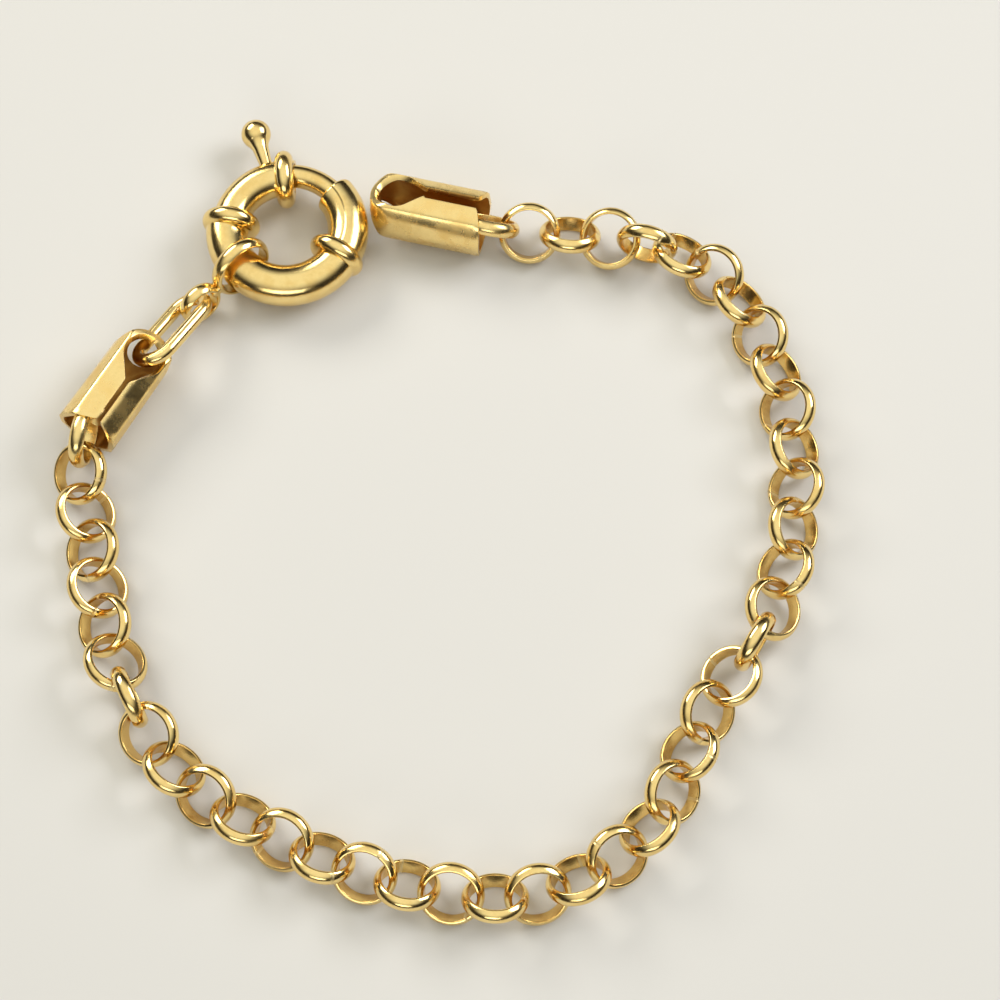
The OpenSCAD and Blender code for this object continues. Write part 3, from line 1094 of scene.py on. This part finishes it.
def cap_eye(skin, cap, facts):
    """The chain's eye in the cap's tail, on the waisted post of solder that holds it."""
    # The eye's band: its width, its thickness and how thick it is at its edges
    width, thickness, flat = 1.2 * MM, 0.55 * MM, 0.2 * MM
    lie = (
        Matrix.Translation((-cap.eye_out, 0, 0))
        @ Matrix.Rotation(-facts["roll"], 4, "X")
        @ Matrix.Rotation(facts["eye_turn"], 4, "Z")
        @ Matrix.Rotation(facts["eye_lean"], 4, "X")
    )
    rows = band_rows(cap.eye, width, thickness, flat)
    skin.grid(moved(rows, lie), across=True, along=True)
    # The post stands on the cap's back and ends in a low dome
    top, foot = 0.1 * MM, cap.sheet / 2 - cap.width / 2
    solder = [(0, foot)]
    for t in np.linspace(0, 1, 14):
        waist = 0.5 + 0.28 * abs(2 * t - 1) ** 2.5
        solder.append((waist * MM, foot + (top - foot) * t))
    solder += [(0.4 * MM, top + 0.12 * MM), (0, top + 0.16 * MM)]
    post = Matrix.Translation((cap.eye / 2 - thickness - cap.eye_out, 0, 0))
    skin.grid(moved(turned(solder, 32), post), along=True)


def end_cap(node):
    """One end cap with the chain's eye soldered into its tail."""
    cap = bpy.context.scene.bracelet_caps
    facts = CAPS[node]
    skin = Skin()
    cap_sheet(skin, cap, facts["slit"] * MM, facts["back_lean"], facts["sharpness"])
    cap_eye(skin, cap, facts)
    lie = lie_of_cap(node, facts["heading"], facts["roll"], cap)
    # The second material paints shade on the inside of the sheet
    piece = skin.make(node + "_sheet", lie, [sheet_gold(), sheet_inside_painted_shade_gold()])
    soften(piece, 0.06 * MM)
    stand_for(piece, node)


class BRACELET_OT_chain(bpy.types.Operator):
    """Makes the chain's links: tumbled D-section bands with soldered seams"""

    bl_idname = "bracelet.chain"
    bl_label = "Chain links"

    def execute(self, context):
        chance = random.Random(context.scene.bracelet_chain.seed)
        # The second material paints shade on the bands' inner faces
        materials = [polished_gold(), band_inside_painted_shade_gold(), solder_gold()]
        for name in LINKS:
            link_ring(name, chance, materials)
        return {"FINISHED"}


class BRACELET_OT_caps(bpy.types.Operator):
    """Makes the two end caps of folded sheet with their soldered eyes"""

    bl_idname = "bracelet.caps"
    bl_label = "End caps"

    def execute(self, context):
        for name in CAPS:
            end_cap(name)
        return {"FINISHED"}


class BRACELET_OT_connectors(bpy.types.Operator):
    """Makes the oval link and the figure-eight link"""

    bl_idname = "bracelet.connectors"
    bl_label = "Connecting links"

    def execute(self, context):
        oval_link()
        figure_eight_link()
        return {"FINISHED"}


class BRACELET_OT_clasp(bpy.types.Operator):
    """Makes the clasp's ring and its sliding gate"""

    bl_idname = "bracelet.clasp"
    bl_label = "Ring clasp"

    def execute(self, context):
        clasp_ring()
        clasp_gate()
        return {"FINISHED"}


def softbox(name, place, size, power, colour):
    """A softbox that stands at a place and faces the middle of the bracelet."""
    light = bpy.data.lights.new(name, "AREA")
    light.shape = "RECTANGLE"
    light.size, light.size_y = size
    light.energy = power
    light.color = linear(colour)
    light.spread = LIGHT_SPREAD
    holder = bpy.data.objects.new(name, light)
    holder.location = place
    holder.rotation_euler = (-Vector(place)).to_track_quat("-Z", "Y").to_euler()
    holder.visible_camera = False
    bpy.context.scene.collection.objects.link(holder)


def room(stage):
    """The room around the table: dark walls under a pale ceiling, which light the gold."""
    world = bpy.data.worlds.new("Room")
    world.use_nodes = True
    tree = world.node_tree
    tree.nodes.clear()
    direction = add(tree, "ShaderNodeTexCoord").outputs["Generated"]
    height = add(tree, "ShaderNodeSeparateXYZ", inputs={"Vector": direction})
    share = add(
        tree,
        "ShaderNodeMapRange",
        {"interpolation_type": "SMOOTHSTEP"},
        {"Value": height.outputs["Z"], "From Min": 0.42, "From Max": 0.95},
    )
    colour = add(
        tree,
        "ShaderNodeMix",
        {"data_type": "RGBA"},
        {"Factor": share.outputs["Result"], 6: (*stage.walls, 1), 7: (*stage.ceiling, 1)},
    )
    light = add(tree, "ShaderNodeBackground", inputs={"Color": colour.outputs[2]})
    output = add(tree, "ShaderNodeOutputWorld")
    tree.links.new(light.outputs["Background"], output.inputs["Surface"])
    return world


class BRACELET_OT_stage(bpy.types.Operator):
    """Makes the pale table, the soft lights and the camera at the photograph's angle"""

    bl_idname = "bracelet.stage"
    bl_label = "Stage"

    def execute(self, context):
        scene = context.scene
        stage = scene.bracelet_stage
        # Matt laminate table: pale, no gloss
        material, tree, output = new_material("Matt pale table laminate")
        shader = add(
            tree,
            "ShaderNodeBsdfPrincipled",
            inputs={"Base Color": (*stage.floor, 1), "Roughness": 0.85},
        )
        tree.links.new(shader.outputs[0], output.inputs["Surface"])
        half = stage.table / 2
        corners = [(-half, -half, 0), (half, -half, 0), (half, half, 0), (-half, half, 0)]
        table = make_object("table", corners, [(0, 1, 2, 3)], [material])

        scene.world = room(stage)
        scene.view_settings.view_transform = "Standard"

        for name, facts in SOFTBOXES.items():
            softbox(name, **facts)

        back = Vector((0, -cos(stage.elevation), sin(stage.elevation)))
        lens = bpy.data.cameras.new("camera")
        lens.sensor_width = 36
        lens.lens = stage.lens
        lens.clip_start = 0.01
        camera = bpy.data.objects.new("camera", lens)
        camera.location = Vector((stage.aim_x, stage.aim_y, 0)) + back * stage.distance
        camera.rotation_euler = (-back).to_track_quat("-Z", "Y").to_euler()
        scene.collection.objects.link(camera)
        scene.camera = camera
        return {"FINISHED"}


class BRACELET_PT_panel(bpy.types.Panel):
    """The bracelet's pieces and settings"""

    bl_idname = "BRACELET_PT_panel"
    bl_label = "Link bracelet"
    bl_space_type = "VIEW_3D"
    bl_region_type = "UI"
    bl_category = "Bracelet"

    def draw(self, context):
        scene = context.scene
        for group in (
            scene.bracelet_gold,
            scene.bracelet_chain,
            scene.bracelet_clasp,
            scene.bracelet_caps,
            scene.bracelet_pieces,
            scene.bracelet_stage,
        ):
            box = self.layout.box()
            for name in group.bl_rna.properties.keys():
                if name not in ("rna_type", "name"):
                    box.prop(group, name)
        for operator in OPERATORS:
            self.layout.operator(operator.bl_idname)


OPERATORS = (
    BRACELET_OT_chain,
    BRACELET_OT_caps,
    BRACELET_OT_connectors,
    BRACELET_OT_clasp,
    BRACELET_OT_stage,
)
GROUPS = {
    "bracelet_gold": GoldSettings,
    "bracelet_chain": ChainSettings,
    "bracelet_clasp": ClaspSettings,
    "bracelet_caps": CapSettings,
    "bracelet_pieces": PieceSettings,
    "bracelet_stage": StageSettings,
}


def register():
    """Registers the settings, the operators and the panel."""
    for name, group in GROUPS.items():
        bpy.utils.register_class(group)
        setattr(bpy.types.Scene, name, PointerProperty(type=group))
    for operator in OPERATORS:
        bpy.utils.register_class(operator)
    bpy.utils.register_class(BRACELET_PT_panel)


def unregister():
    """Takes the panel, the operators and the settings away again."""
    bpy.utils.unregister_class(BRACELET_PT_panel)
    for operator in reversed(OPERATORS):
        bpy.utils.unregister_class(operator)
    for name, group in reversed(GROUPS.items()):
        delattr(bpy.types.Scene, name)
        bpy.utils.unregister_class(group)


def main():
    """Builds the bracelet and the stage."""
    register()
    bpy.ops.bracelet.chain()
    bpy.ops.bracelet.caps()
    bpy.ops.bracelet.connectors()
    bpy.ops.bracelet.clasp()
    bpy.ops.bracelet.stage()


if __name__ == "__main__":
    main()
